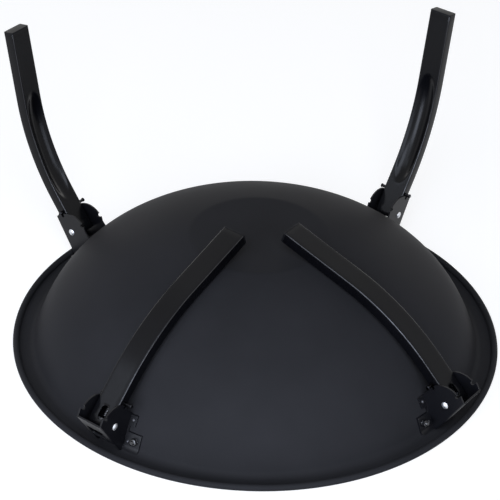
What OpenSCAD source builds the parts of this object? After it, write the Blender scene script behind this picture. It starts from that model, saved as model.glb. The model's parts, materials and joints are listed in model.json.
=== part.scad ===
// Folding fire bowl, standing upside down on its rim with two legs open and two folded.
// The plane of the rim is Z = 0 and the origin is on the bowl's axis.
// A corner's own frame has X outwards, Y along the hinge pin and Z up.

/* [Bowl] */
// Diameter over the rolled rim
bowl_d = 600; // [560:5:660]
// Height from the rim plane to the outside of the flat base
bowl_h = 150; // [142:1:160]
// Thickness of the pressed sheet
sheet_t = 1.2; // [0.8:0.1:2]
// Diameter of the flat base, over its soft edge
base_d = 173; // [150:1:190]
// Radius of the soft edge round the flat base
base_edge_r = 30; // [15:1:50]
// Width of the brim, from the outside of the rim to the fillet
brim_w = 19; // [16:0.5:24]
// Radius of the fillet between the brim and the wall
brim_fillet_r = 10; // [6:0.5:14]
// Diameter of the rolled bead on the rim
bead_d = 8; // [6:0.5:10]

/* [Hinge brackets] */
// Turn of the first leg from the X axis
first_corner = 53.7; // [40:0.1:60]
// Height of the hinge pins above the rim plane
pivot_h = 42; // [40:0.5:46]
// Distance of the hinge pins inside the rim
pivot_inset = 12.3; // [11:0.1:14]
// Thickness of the bracket plate
bracket_t = 2; // [1.5:0.1:3]
// Lean of the bracket's back plate from level
plate_lean = 58.3; // [56:0.1:61]
// Distance from the hinge axis to the back plate
plate_gap = 12.8; // [12.2:0.1:14]
// Length of the back plate down its slope
plate_len = 46; // [40:1:50]
// Length of the window in the back plate, down its slope
window_len = 20; // [12:1:24]
// Width of the window in the back plate
window_w = 23; // [12:1:28]
// Width that the bolted tabs reach past the leg
tab_w = 23; // [16:0.5:28]
// Height of the bolted tabs up the wall
tab_h = 19.5; // [14:0.5:22]
// Outer radius of the folds between the back plate and the ears
fold_r = 2.5; // [2:0.1:4]

/* [Legs] */
// Width of the leg tube, along the hinge pin
leg_w = 30; // [26:0.5:34]
// Depth of the leg tube
leg_d = 15; // [13:0.5:16]
// Wall of the leg tube
leg_t = 1.2; // [0.8:0.1:1.8]
// Radius of the tube's outer corners
leg_corner_r = 1.8; // [1:0.1:2.5]
// Straight length from the hinge pin to the bend
leg_root = 50; // [46:1:58]
// Radius of the bend at the middle of the tube
leg_bend_r = 290; // [260:5:330]
// Angle of the bend
leg_bend = 26.3; // [24:0.1:28]
// Straight length from the bend to the foot
leg_tip = 97; // [70:1:105]
// Lean of an open leg at its hinge, from level
leg_open = 53.5; // [51:0.1:55]
// Gap that a folded leg keeps over the bowl
leg_rest_gap = 2.17; // [1:0.01:4]
// Depth of the pressed trough in the hollow side of the bend
trough_depth = 6.5; // [3:0.2:7]
// Radius of the trough's section
trough_r = 15; // [12:0.5:18]
// Half of the trough's length
trough_half = 76; // [60:1:80]

/* [Hinge pins and locks] */
// Diameter of the hinge rivet's shank
rivet_d = 5; // [4:0.1:6]
// Diameter of the hinge rivet's heads
rivet_head_d = 8.8; // [7.5:0.1:10]
// Height of the hinge rivet's heads
rivet_head_h = 1.8; // [1.2:0.1:2.5]
// Diameter of the lock pin
lock_d = 4; // [3:0.1:4.6]
// Half of the lock pin's length, over its heads
lock_half = 23; // [22:0.1:26]
// Distance from the hinge axis to a lock pin that sits in a notch
lock_engaged = 24.4; // [23.8:0.1:24.8]
// Radius of the bracket's cam edge, from notch to notch
cam_r = 26.2; // [25.6:0.1:27]
// Diameter of the spring wire
wire_d = 0.9; // [0.6:0.05:1]
// Middle radius of the spring's coils
coil_r = 3.1; // [2.6:0.1:3.4]
// Number of turns in the spring
coil_turns = 11; // [6:1:12]

/* [Bracket bolts and rivets] */
// Diameter of the bolts
bolt_d = 5; // [4:0.1:6]
// Height of the bolts above the rim plane
bolt_h = 14.5; // [12:0.5:16]
// Distance of the bolts from the ends of the tabs
bolt_edge = 7.5; // [6.5:0.1:8]
// Width across the flats of the nuts
nut_w = 8; // [7:0.1:9]
// Height of the nuts
nut_h = 4; // [3:0.1:5]
// Diameter of the small rivets beside the ears
tab_rivet_d = 3; // [2:0.1:3.4]
// Diameter of the small rivets' heads
tab_rivet_head_d = 4.4; // [3.8:0.1:4.8]

/* [Fits] */
// Free space round the turning shank of the rivet
running_fit = 0.06; // [0.02:0.01:0.1]
// Free space on each side of the leg in its bracket
side_play = 0.8; // [0.4:0.1:1.2]
// Free space round parts that slide or pass each other
free_play = 0.3; // [0.3:0.05:0.5]
// Free space round the fixed shanks
close_fit = 0.05; // [0.02:0.01:0.15]

/* [Hidden] */
$fn = 64;
round_fn = 240;
soft_slope = 13;
knuckle_slope = 31;
wall_slope = 72;
edge_steps = 3;
crown_steps = 6;
side_steps = 14;
fillet_steps = 8;
bead_steps = 20;
bead_turn = 285;
below = 12;
far = 60;

CORNERS = ["rear_right", "rear_left", "front_left", "front_right"];
FOLDED = [false, false, true, true];
PIN_SHIFT = [0, -2.5, 2.5, -2.5];
CORNER_PIECES = ["bracket", "hinge_rivet", "bracket_bolts", "bracket_nuts", "bracket_washers", "tab_rivets",
                 "leg", "foot_cap", "lock_pin", "lock_spring"];

steel_black = "#2c2c2f";
leg_black = "#1d1d20";
zinc = "#c6c8cc";
dark_zinc = "#55565a";
plastic_black = "#151517";

// The wall is four arcs that run on from each other: soft edge, crown, side and brim fillet.
// The crown and side radii follow from the height and the width that the arcs have to span.
bowl_r = bowl_d / 2;
foot_r = bowl_r - brim_w;
crown_drop = cos(soft_slope) - cos(knuckle_slope);
crown_run = sin(knuckle_slope) - sin(soft_slope);
side_drop = cos(knuckle_slope) - cos(wall_slope);
side_run = sin(wall_slope) - sin(knuckle_slope);
arcs_drop = bowl_h - sheet_t - base_edge_r * (1 - cos(soft_slope)) - brim_fillet_r * (1 - cos(wall_slope));
arcs_run = foot_r - base_d / 2 - brim_fillet_r * sin(wall_slope);
arcs_det = crown_drop * side_run - side_drop * crown_run;
crown_r = (arcs_drop * side_run - arcs_run * side_drop) / arcs_det;
side_r = (crown_drop * arcs_run - crown_run * arcs_drop) / arcs_det;

function slope_dir(a) = [sin(a), cos(a)];
function level_dir(a) = [cos(a), sin(a)];

edge_c = [base_d / 2 - base_edge_r * sin(soft_slope), bowl_h - base_edge_r];
crown_c = edge_c + (base_edge_r - crown_r) * slope_dir(soft_slope);
side_c = crown_c + (crown_r - side_r) * slope_dir(knuckle_slope);
fillet_c = [foot_r, sheet_t + brim_fillet_r];

// Hinge geometry in a corner's own frame, as [outwards, up].
pivot = [bowl_r - pivot_inset, pivot_h];
ear_in = leg_w / 2 + side_play;
ear_out = ear_in + bracket_t;
plate_dir = level_dir(plate_lean);
plate_side = level_dir(plate_lean - 90);
plate_top = 25.7;
plate_corner = pivot + plate_top * plate_dir + (plate_gap + bracket_t) * plate_side;
ear_corner = plate_corner - bracket_t / 2 * (plate_dir + plate_side);
plate_lip = 7;
plate_step = 0.2;
window_corner = 3;
fold_lap = 0.05;
nub_r = 29.5;
nub_angle = 7;
waist_r = 25.1;
waist_angle = 20.3;
ear_reach = 42;
ear_drop = 10.3;
ear_foot = 2.4;
lock_r = lock_d / 2;
lock_travel = cam_r - lock_engaged + lock_r + free_play;
lock_free = lock_engaged + lock_travel;
notch_r = lock_r + free_play;
shoulder_angle = 9;
leg_back = 7.5;
leg_shift = -1.5;
tab_end = leg_w / 2 + tab_w;
tab_low = 4;
heel_w = 2;
upper_tab_w = 10.5;
upper_tab_h = 12;
upper_tab_top = 42;

bolt_v = tab_end - bolt_edge;
washer_t = 1;
washer_r = 0.92 * bolt_d;
bolt_head_r = 0.9 * bolt_d;
bolt_head_h = 0.45 * bolt_d;
bolt_end = 2;
head_seat = 0.1;

// The small rivets beside an ear, as [distance from the middle of the leg, height].
tab_rivet_gap = 1.5;
tab_rivet_v = ear_out + tab_rivet_gap + tab_rivet_head_d / 2;
TAB_RIVETS = [[tab_rivet_v, tab_low + tab_h * 0.4], [tab_rivet_v, upper_tab_top - upper_tab_h / 2]];
tab_rivet_head_h = 1.2;
tab_rivet_tail = 2;

// The bend starts at leg_root; the trough's arc is tighter than the bend, so that it runs out at both ends.
bend_c = [leg_root, leg_shift + leg_bend_r];
hollow_r = leg_bend_r - leg_d / 2;
half_bend = leg_bend / 2;
trough_sag = hollow_r * (1 - cos(half_bend)) + (trough_half - hollow_r * sin(half_bend)) * tan(half_bend);
trough_rise = trough_sag + trough_depth;
trough_path_r = (trough_half * trough_half + trough_rise * trough_rise) / (2 * trough_rise);
trough_c_dist = leg_bend_r - leg_d / 2 + trough_depth - trough_path_r;
cap_flange = 2.5;
cap_plug = 14;
cap_wall = 2;
cap_fit = 0.1;
spot_slot_len = 17;
spot_slot_w = 9.5;

// The folded legs stop over the bowl: a leg turns in until the points along its hollow side come that near.
// A point of a leg is [along the root, towards the hollow side], measured from the hinge pin.
function bend_point(a) = bend_c + hollow_r * level_dir(a - 90);
HOLLOW_SIDE = concat(
  [for (a = [0:leg_bend / 12:leg_bend]) bend_point(a)],
  [for (i = [0:6]) bend_point(leg_bend) + leg_tip * i / 6 * level_dir(leg_bend)]);

// Height of a point of a corner's frame over the bowl's outer face.
function over_wall(p) =
  let (side = p - side_c, crown = p - crown_c)
  atan2(side.x, side.y) > knuckle_slope ? norm(side) - side_r :
  atan2(crown.x, crown.y) > soft_slope ? norm(crown) - crown_r :
  p.x > edge_c.x ? norm(p - edge_c) - base_edge_r : p.y - bowl_h;

function gap_at(lean) =
  min([for (p = HOLLOW_SIDE) over_wall(pivot + p.x * level_dir(lean) + p.y * level_dir(lean + 90))]);

function lean_for_gap(low, high, steps) =
  let (mid = (low + high) / 2)
  steps == 0 ? mid :
  gap_at(mid) > leg_rest_gap ? lean_for_gap(mid, high, steps - 1) : lean_for_gap(low, mid, steps - 1);

folded_angle = lean_for_gap(90, 180, 24);
echo(turn_of_a_leg = folded_angle - leg_open, gap_of_a_folded_leg = gap_at(folded_angle));

module at_corner(i) {
  rotate([0, 0, first_corner + 90 * i]) children();
}

// Puts a shape from the leg's own frame, X along the leg and Z along the hinge, in its corner.
module at_leg(i) {
  lean = FOLDED[i] ? folded_angle : leg_open;
  at_corner(i) translate([pivot.x, 0, pivot.y]) rotate([0, -lean, 0]) rotate([90, 0, 0]) children();
}

module part_of(name, i, shade) {
  color(shade) children();
}

// ---- Bowl ----

// Points of an arc whose normal leans from a0 to a1; a negative radius gives a hollow arc.
function arc(centre, r, a0, a1, steps) =
  [for (i = [0:steps]) centre + r * slope_dir(a0 + (a1 - a0) * i / steps)];

// The bowl's outer face from the axis to brim_end, moved out by grow.
function wall_line(grow, brim_end) = concat(
  [[0, bowl_h + grow]],
  arc(edge_c, base_edge_r + grow, 0, soft_slope, edge_steps),
  arc(crown_c, crown_r + grow, soft_slope, knuckle_slope, crown_steps),
  arc(side_c, side_r + grow, knuckle_slope, wall_slope, side_steps),
  arc(fillet_c, grow - brim_fillet_r, wall_slope, 0, fillet_steps),
  [[brim_end, sheet_t + grow]]);

function reversed(list) = [for (i = [len(list) - 1:-1:0]) list[i]];

// Everything under that face.
module under_wall(grow, brim_end) {
  polygon(concat(wall_line(grow, brim_end), [[brim_end, -below], [0, -below]]));
}

// One line round the sheet's section: the wall, and the rim rolled back over the brim, open on its inner side.
module bowl_profile() {
  r = bead_d / 2;
  centre = [bowl_r - r, r];
  bead = [for (i = [1:bead_steps]) level_dir(270 + bead_turn * i / bead_steps)];
  polygon(concat(
    wall_line(0, centre.x),
    [for (d = bead) centre + (r - sheet_t) * d],
    [for (d = reversed(bead)) centre + r * d],
    reversed(wall_line(-sheet_t, centre.x))));
}

// Both sides of a corner, on the wall at a distance v from its middle and a height h, with Z square to the wall.
module on_wall(v, h) {
  slope = acos((h - side_c.y) / side_r);
  radius = side_c.x + side_r * sin(slope);
  for (side = [-1, 1])
    rotate([0, 0, side * asin(v / radius)]) translate([radius, 0, h]) rotate([0, slope, 0]) children();
}

module at_bolts() {
  on_wall(bolt_v, bolt_h) children();
}

module at_tab_rivets() {
  for (place = TAB_RIVETS) on_wall(place.x, place.y) children();
}

module shank_hole(d) {
  cylinder(r = d / 2 + close_fit, h = 6 * (sheet_t + bracket_t), center = true);
}

module bowl() {
  difference() {
    rotate_extrude($fn = round_fn) bowl_profile();
    for (i = [0:3]) at_corner(i) {
      at_bolts() shank_hole(bolt_d);
      at_tab_rivets() shank_hole(tab_rivet_d);
    }
  }
}

// ---- Hinge bracket ----

// The space that the bowl fills, with its faces moved out by grow.
module bowl_space(grow) {
  rotate_extrude($fn = round_fn) under_wall(grow, bowl_r + far);
}

module notch(angle) {
  translate(pivot) rotate(angle) {
    translate([lock_engaged, 0]) circle(r = notch_r);
    translate([lock_engaged, -notch_r]) square([far, 2 * notch_r]);
  }
}

module ear_profile() {
  shoulder = pivot + cam_r * level_dir(folded_angle + shoulder_angle);
  difference() {
    union() {
      polygon([ear_corner,
               pivot + nub_r * level_dir(leg_open - nub_angle),
               pivot + nub_r * level_dir(leg_open),
               pivot,
               shoulder,
               pivot + waist_r * level_dir(folded_angle + waist_angle),
               pivot - [ear_reach, ear_drop],
               [pivot.x - ear_reach, -below / 2],
               ear_corner - (plate_top + far) * plate_dir]);
      intersection() {
        translate(pivot) circle(r = cam_r, $fn = round_fn);
        polygon([pivot, pivot + far * level_dir(leg_open), pivot + far * level_dir((leg_open + folded_angle) / 2),
                 pivot + far * level_dir(folded_angle + shoulder_angle)]);
      }
    }
    translate([0, ear_foot - far]) square([2 * bowl_r, far]);
    notch(leg_open);
    notch(folded_angle);
  }
}

module ear(side) {
  translate([0, side * (ear_in + ear_out) / 2, 0]) rotate([90, 0, 0])
    linear_extrude(bracket_t, center = true) ear_profile();
}

module window_profile() {
  for (x = [-1, 1], y = [-1, 1])
    translate([x * (window_len / 2 - window_corner), y * (window_w / 2 - window_corner)]) circle(r = window_corner);
  square([window_len, window_w - 2 * window_corner], center = true);
  square([window_len - 2 * window_corner, window_w], center = true);
}

// Puts a shape in the back plate's frame, X up its slope and Z in from its outer face.
module at_plate() {
  translate([plate_corner.x, 0, plate_corner.y]) rotate([0, -plate_lean, 0]) children();
}

module back_plate() {
  half_w = ear_out - plate_step;
  at_plate() difference() {
    translate([-plate_len, -half_w, 0]) cube([plate_len, 2 * half_w, bracket_t]);
    translate([plate_lip + window_len / 2 - plate_len, 0, -1]) linear_extrude(bracket_t + 2) window_profile();
  }
}

// What the rounded folds take off between the back plate and the ears.
module fold_corners() {
  centre = fold_r - fold_lap;
  at_plate() translate([-2 * far, 0, 0]) rotate([90, 0, 90]) linear_extrude(3 * far) for (side = [0, 1])
    mirror([side, 0]) translate([ear_out - centre, centre]) difference() {
      translate([0, -2 * fold_r]) square(2 * fold_r);
      circle(r = fold_r);
    }
}

// Tabs bent out from the foot of an ear, pressed to the curve of the wall.
module tab_space(side) {
  spans = [[tab_low, tab_low + tab_h, tab_end],
           [tab_low, upper_tab_top, ear_out + heel_w],
           [upper_tab_top - upper_tab_h, upper_tab_top, ear_in + upper_tab_w]];
  start = (ear_in + ear_out) / 2;
  for (s = spans)
    translate([pivot.x - far, side > 0 ? start : -s[2], s[0]]) cube([far, s[2] - start, s[1] - s[0]]);
}

module bracket() {
  difference() {
    union() {
      for (side = [-1, 1]) {
        ear(side);
        intersection() {
          tab_space(side);
          bowl_space(bracket_t);
        }
      }
      back_plate();
    }
    bowl_space(0);
    fold_corners();
    translate([pivot.x, 0, pivot.y]) rotate([90, 0, 0])
      cylinder(r = rivet_d / 2 + close_fit, h = 3 * leg_w, center = true);
    at_bolts() shank_hole(bolt_d);
    at_tab_rivets() shank_hole(tab_rivet_d);
  }
}

// ---- Fixed fasteners ----

// Half of a shank with a domed head, turned about the Y axis of the profile.
module domed_pin(r, half, head_r, head_h) {
  dome_r = (head_r * head_r + head_h * head_h) / (2 * head_h);
  for (side = [0, 1]) mirror([0, 0, side]) rotate_extrude() {
    square([r, half]);
    intersection() {
      translate([0, half + head_h - dome_r]) circle(r = dome_r, $fn = round_fn);
      translate([0, half]) square([head_r, head_h]);
    }
  }
}

module hinge_rivet() {
  translate([pivot.x, 0, pivot.y]) rotate([90, 0, 0])
    domed_pin(rivet_d / 2, ear_out, rivet_head_d / 2, rivet_head_h);
}

module bracket_bolts() {
  seat = -sheet_t - head_seat;
  dome_r = 1.5 * bolt_head_r;
  at_bolts() {
    translate([0, 0, seat]) cylinder(r = bolt_d / 2, h = bracket_t + washer_t + nut_h + bolt_end - seat);
    translate([0, 0, seat - bolt_head_h]) rotate_extrude() intersection() {
      square([bolt_head_r, bolt_head_h]);
      translate([0, dome_r]) circle(r = dome_r);
    }
  }
}

// Small rivets that join a tab to the wall, with a domed head outside and a plain tail inside.
module tab_rivets() {
  head_r = tab_rivet_head_d / 2;
  dome_r = (head_r * head_r + tab_rivet_head_h * tab_rivet_head_h) / (2 * tab_rivet_head_h);
  tail = sheet_t + head_seat + tab_rivet_tail;
  at_tab_rivets() {
    translate([0, 0, -tail]) cylinder(r = tab_rivet_d / 2, h = tail + bracket_t);
    translate([0, 0, -tail]) cylinder(r = 0.85 * head_r, h = tab_rivet_tail);
    translate([0, 0, bracket_t]) rotate_extrude() intersection() {
      square([head_r, tab_rivet_head_h]);
      translate([0, tab_rivet_head_h - dome_r]) circle(r = dome_r, $fn = round_fn);
    }
  }
}

module bracket_washers() {
  at_bolts() translate([0, 0, bracket_t]) difference() {
    cylinder(r = washer_r, h = washer_t);
    translate([0, 0, -1]) cylinder(r = bolt_d / 2 + close_fit, h = washer_t + 2);
  }
}

module bracket_nuts() {
  at_bolts() translate([0, 0, bracket_t + washer_t]) difference() {
    intersection() {
      cylinder(d = nut_w / cos(30), h = nut_h, $fn = 6);
      translate([0, 0, nut_h - 1.35 * nut_w]) sphere(r = 1.35 * nut_w, $fn = round_fn);
    }
    translate([0, 0, -1]) cylinder(r = bolt_d / 2 + close_fit, h = nut_h + 2);
  }
}

// ---- Leg ----

module round_rect(w, d, r) {
  for (x = [-1, 1], y = [-1, 1]) translate([x * (w / 2 - r), y * (d / 2 - r)]) circle(r = r, $fn = 32);
  square([w, d - 2 * r], center = true);
  square([w - 2 * r, d], center = true);
}

// Half of the leg about the middle of its bend: half the bend and one straight length, of one section.
// The frame's origin is the centre of the bend.
module half_leg(inset, straight_len) {
  w = leg_w - 2 * inset;
  d = leg_d - 2 * inset;
  r = max(leg_corner_r - inset, 0.4);
  intersection() {
    rotate([0, 0, -half_bend]) {
      translate([-straight_len, -leg_bend_r, 0]) rotate([0, 90, 0]) linear_extrude(straight_len) round_rect(w, d, r);
      rotate([0, 0, -90]) rotate_extrude(angle = half_bend + 1, $fn = 3 * round_fn)
        translate([leg_bend_r, 0]) round_rect(d, w, r);
    }
    translate([-4 * far, -2 * leg_bend_r, -far]) cube([4 * far, 2 * leg_bend_r, 2 * far]);
  }
}

module along_leg(inset, root_len, tip_len) {
  translate(bend_c) rotate([0, 0, half_bend]) {
    half_leg(inset, root_len);
    mirror([1, 0, 0]) half_leg(inset, tip_len);
  }
}

// Frame of the straight length past the bend, with Z along the tube.
module at_tip(along) {
  translate(bend_c) rotate([0, 0, leg_bend]) translate([along, -leg_bend_r, 0]) rotate([0, 90, 0]) children();
}

module trough(grow) {
  centre = bend_c + trough_c_dist * level_dir(half_bend - 90);
  ring_r = trough_path_r - trough_r;
  translate(centre) rotate([0, 0, half_bend - 90 - 40]) rotate_extrude(angle = 80, $fn = 2 * round_fn)
    translate([ring_r, 0]) circle(r = trough_r + grow, $fn = 120);
}

// A slot with round ends along X, from x0 to x1 between the end centres, cut along Z.
module round_slot(x0, x1, r, h) {
  for (x = [x0, x1]) translate([x, 0, 0]) cylinder(r = r, h = h, center = true);
  translate([x0, -r, -h / 2]) cube([x1 - x0, 2 * r, h]);
}

module leg() {
  slot_r = spot_slot_w / 2;
  difference() {
    along_leg(0, leg_root + leg_back, leg_tip - cap_flange);
    trough(0);
    difference() {
      along_leg(leg_t, leg_root + leg_back + 1, leg_tip);
      trough(leg_t);
    }
    translate([0, leg_shift - leg_d / 2, 0]) rotate([90, 0, 0])
      round_slot(slot_r, spot_slot_len - slot_r, slot_r, leg_d / 2);
    cylinder(r = rivet_d / 2 + running_fit, h = 2 * leg_w, center = true);
    round_slot(lock_engaged, lock_free, notch_r, 2 * leg_w);
  }
}

module foot_cap() {
  plug_gap = 2 * (leg_t + cap_fit);
  plug_corner = max(leg_corner_r - leg_t, 0.4) + cap_fit;
  hollow_gap = plug_gap + 2 * cap_wall;
  at_tip(leg_tip - cap_flange) linear_extrude(cap_flange) round_rect(leg_w, leg_d, leg_corner_r);
  at_tip(leg_tip - cap_flange - cap_plug) difference() {
    linear_extrude(cap_plug + cap_flange / 2) round_rect(leg_w - plug_gap, leg_d - plug_gap, plug_corner);
    translate([0, 0, -1]) linear_extrude(cap_plug) round_rect(leg_w - hollow_gap, leg_d - hollow_gap, plug_corner);
  }
}

// ---- Lock pin and spring ----

module lock_pin(shift) {
  head_r = lock_r + 1;
  head_h = 2;
  translate([lock_free, 0, -shift]) for (side = [0, 1]) mirror([0, 0, side])
    rotate_extrude() difference() {
      union() {
        square([lock_r, lock_half - head_h / 2]);
        translate([0, lock_half - head_h]) square([head_r, head_h]);
      }
      translate([head_r, lock_half]) rotate(45) square(1, center = true);
    }
}

// The spring is one wire: an eye round the rivet, a bend on to the coil, the coil, and the same again
// to an eye round the lock pin. Each point is [place, direction out of the curl], in the leg's frame.
wire_r = wire_d / 2;
EYE_STEPS = 9;
EYE_OPEN = 60;
bend_r = 1.4;
eye_near = rivet_d / 2 + free_play + wire_r;
eye_far = lock_r + free_play + wire_r;
coil_start = eye_near + wire_d;
coil_end = lock_free - eye_far - wire_d;
coil_pitch = (coil_end - coil_start - 2 * bend_r) / coil_turns;
coil_points = 8 * coil_turns;

function eye(centre, r, from, to) = [for (i = [0:EYE_STEPS])
  let (a = from + (to - from) * i / EYE_STEPS) [centre + r * [cos(a), sin(a), 0], [cos(a), sin(a), 0]]];
// A place on the coil's cylinder: x along the leg, w round it.
function on_coil(x, w) = let (a = w / coil_r * 180 / PI)
  [[x, coil_r * cos(a), coil_r * sin(a)], [0, cos(a), sin(a)]];
turn_w = 2 * PI * coil_r;
SPRING = concat(
  eye([0, 0, 0], eye_near, 90 + EYE_OPEN + 210, 95),
  [for (i = [0:2]) let (a = i * 40) on_coil(coil_start + bend_r * sin(a), bend_r * (1 - cos(a)))],
  [for (i = [1:coil_points - 1])
    on_coil(coil_start + bend_r + coil_pitch * i / 8, turn_w * i / 8 + bend_r * (1 - i / coil_points * 2))],
  [for (i = [2:-1:0]) let (a = i * 40) on_coil(coil_end - bend_r * sin(a), turn_w * coil_turns - bend_r * (1 - cos(a)))],
  eye([lock_free, 0, 0], eye_far, 85, 90 - EYE_OPEN - 210));

function unit(v) = v / norm(v);
function ring(path, i) =
  let (last = len(path) - 1,
       along = unit(path[min(i + 1, last)][0] - path[max(i - 1, 0)][0]),
       out = path[i][1] - (path[i][1] * along) * along,
       u = unit(out),
       v = cross(along, u))
  [for (k = [0:5]) path[i][0] + wire_r * (cos(60 * k) * u + sin(60 * k) * v)];

module wire(path) {
  n = len(path);
  points = [for (i = [0:n - 1]) each ring(path, i)];
  sides = [for (i = [0:n - 2], k = [0:5])
    let (a = 6 * i + k, b = 6 * i + (k + 1) % 6) each [[a, b, b + 6], [a, b + 6, a + 6]]];
  caps = [for (k = [1:4]) each [[0, k + 1, k], [6 * n - 6, 6 * n - 6 + k, 6 * n - 5 + k]]];
  polyhedron(points, concat(sides, caps));
}

// Least free space between turns, measured between points more than half a turn apart.
SPRING_GAP = min([for (i = [0:len(SPRING) - 6], j = [i + 5:len(SPRING) - 1])
  norm(SPRING[i][0] - SPRING[j][0])]) - wire_d;
echo(least_gap_of_the_spring_to_itself = SPRING_GAP);

// ---- The object ----

color(steel_black) bowl();
for (i = [0:3]) {
  part_of("bracket", i, steel_black) at_corner(i) bracket();
  part_of("hinge_rivet", i, zinc) at_corner(i) hinge_rivet();
  part_of("bracket_bolts", i, dark_zinc) at_corner(i) bracket_bolts();
  part_of("bracket_nuts", i, dark_zinc) at_corner(i) bracket_nuts();
  part_of("bracket_washers", i, dark_zinc) at_corner(i) bracket_washers();
  part_of("tab_rivets", i, zinc) at_corner(i) tab_rivets();
  part_of("leg", i, leg_black) at_leg(i) leg();
  part_of("foot_cap", i, plastic_black) at_leg(i) foot_cap();
  part_of("lock_pin", i, dark_zinc) at_leg(i) lock_pin(PIN_SHIFT[i]);
  part_of("lock_spring", i, zinc) at_leg(i) wire(SPRING);
}
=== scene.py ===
"""Folding fire bowl, upside down on its rim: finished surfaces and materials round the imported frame."""
import json
import math

import bmesh
import bpy
from mathutils import Matrix, Vector

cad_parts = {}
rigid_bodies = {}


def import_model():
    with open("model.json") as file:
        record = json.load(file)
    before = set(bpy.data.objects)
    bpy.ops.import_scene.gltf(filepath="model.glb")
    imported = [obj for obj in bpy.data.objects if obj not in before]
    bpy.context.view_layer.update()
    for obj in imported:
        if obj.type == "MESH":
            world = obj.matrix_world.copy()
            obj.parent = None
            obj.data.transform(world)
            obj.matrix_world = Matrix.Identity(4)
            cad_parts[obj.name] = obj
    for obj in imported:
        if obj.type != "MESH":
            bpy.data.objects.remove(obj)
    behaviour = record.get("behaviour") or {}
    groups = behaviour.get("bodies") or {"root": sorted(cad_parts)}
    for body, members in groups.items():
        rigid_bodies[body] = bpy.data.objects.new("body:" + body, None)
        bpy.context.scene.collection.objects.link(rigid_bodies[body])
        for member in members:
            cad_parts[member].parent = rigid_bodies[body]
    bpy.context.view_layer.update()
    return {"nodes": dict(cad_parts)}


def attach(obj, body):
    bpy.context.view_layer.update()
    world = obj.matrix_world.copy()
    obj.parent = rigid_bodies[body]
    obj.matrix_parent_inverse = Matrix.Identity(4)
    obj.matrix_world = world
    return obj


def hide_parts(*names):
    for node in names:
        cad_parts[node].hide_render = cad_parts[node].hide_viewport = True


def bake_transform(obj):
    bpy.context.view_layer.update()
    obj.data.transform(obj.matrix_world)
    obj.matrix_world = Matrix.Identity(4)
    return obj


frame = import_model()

# ---- Sizes. They are those of the part's source: lengths in millimetres, angles in degrees. ----

# One millimetre, and the distance within which points are welded, both in metres. NEARLY is in millimetres.
MM = 0.001
WELD = 1e-7
NEARLY = 0.01
RIGHT_ANGLE = math.radians(90)

# The bowl: rim, height, sheet, flat base, foot of the wall, bead of the rim, and slopes where its arcs meet.
BOWL_R, BOWL_H = 300, 150
SHEET = 1.2
BASE_R, BASE_EDGE_R = 86.5, 30
FOOT_R, BRIM_FILLET_R = 281, 10
BEAD_R, BEAD_SKIN_R, BEAD_TURN = 4, 3.985, 285
SOFT_SLOPE, KNUCKLE_SLOPE, WALL_SLOPE = 13, 31, 72

# The corners: their turn, which legs are folded, how far each lock pin is off its middle, and the bracket.
FIRST_CORNER = 53.7
CORNERS = ["rear_right", "rear_left", "front_left", "front_right"]
FOLDED = [False, False, True, True]
PIN_SHIFT = [0, -2.5, 2.5, -2.5]
PIVOT = Vector((287.7, 0, 42))
EAR_OUT = 17.8
BRACKET_T = 2

# The leg: its tube, its lengths before and behind the hinge and past the bend, and its lean open and folded.
LEG_W, LEG_D, LEG_T, LEG_CORNER_R = 30, 15, 1.2, 1.8
LEG_ROOT, LEG_BACK, LEG_SHIFT = 50, 7.5, -1.5
LEG_BEND_R, LEG_BEND, LEG_TIP = 290, 26.3, 97
LEG_BEND_LEN = math.radians(LEG_BEND) * LEG_BEND_R
LEG_END = LEG_ROOT + LEG_BEND_LEN + LEG_TIP
LEG_OPEN, LEG_FOLD = 53.5, 83

# The trough in the bend: its size, its blunt ends and soft lips, and the stretch that is divided finely.
TROUGH_DEPTH, TROUGH_R, TROUGH_HALF = 6.5, 16.3, 76
TROUGH_BLUNT, TROUGH_LIP = 4, 1.0
PRESS_START, PRESS_END = 36, 198

# The foot cap, and the long slot in the leg's convex side.
CAP_FLANGE, CAP_PLUG, CAP_FIT, CAP_EASE = 2.5, 14, 0.1, 0.45
CAP_WALL, CAP_LIP, CAP_CHAMFER, CAP_LEAD = 2, 1.6, 0.5, 1.5
SPOT_SLOT_LEN, SPOT_SLOT_W = 17, 9.5

# The hinge rivet, and how far a turned head's edge steps in over the face that it lies on.
RIVET_R, RIVET_HEAD_R, RIVET_HEAD_H = 2.5, 4.4, 1.8
RIVET_FIT = 0.06
HEAD_EDGE, UNDERCUT = 0.15, 0.1

# The lock pin, its place engaged and free along the leg, and the half width of its slot.
LOCK_R, LOCK_HALF, LOCK_ENGAGED, LOCK_FREE = 2, 23, 24.4, 28.5
LOCK_FLANGE_R, LOCK_FLANGE_H, LOCK_EASE = 2.6, 1.8, 0.6
NOTCH_R = 2.3

# The spring: its wire and coil, the play and the sweep of its eyes, and the bends between eyes and coil.
WIRE_R, COIL_R, COIL_TURNS = 0.45, 3.1, 11
FREE_PLAY = 0.3
EYE_SWEEP, EYE_END, COIL_EASE_R, COIL_EASE = 265, 5, 1.4, 80
SPRING_START = RIVET_R + FREE_PLAY + 3 * WIRE_R
SPRING_END = LOCK_FREE - LOCK_R - FREE_PLAY - 3 * WIRE_R

# Bolt, nut and washer. H is the height on the wall and V the distance from the corner's middle.
BOLT_R, BOLT_H, BOLT_V = 2.5, 14.5, 30.5
BOLT_HEAD_R, BOLT_HEAD_H, BOLT_END = 4.5, 2.25, 2
THREAD_PITCH, THREAD_DEPTH, BOLT_POINT = 0.8, 0.42, 0.6
CROSS_HALF, CROSS_ARM, CROSS_DEPTH, CROSS_TAPER, CUT_PAST = 2.0, 0.5, 1.4, 0.6, 0.2
NUT_W, NUT_H, NUT_FACE, NUT_CHAMFER = 8, 4, 0.97, 0.55
WASHER_R, WASHER_T, WASHER_EASE = 4.6, 1, 0.2
BORE_FIT = 0.05

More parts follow.
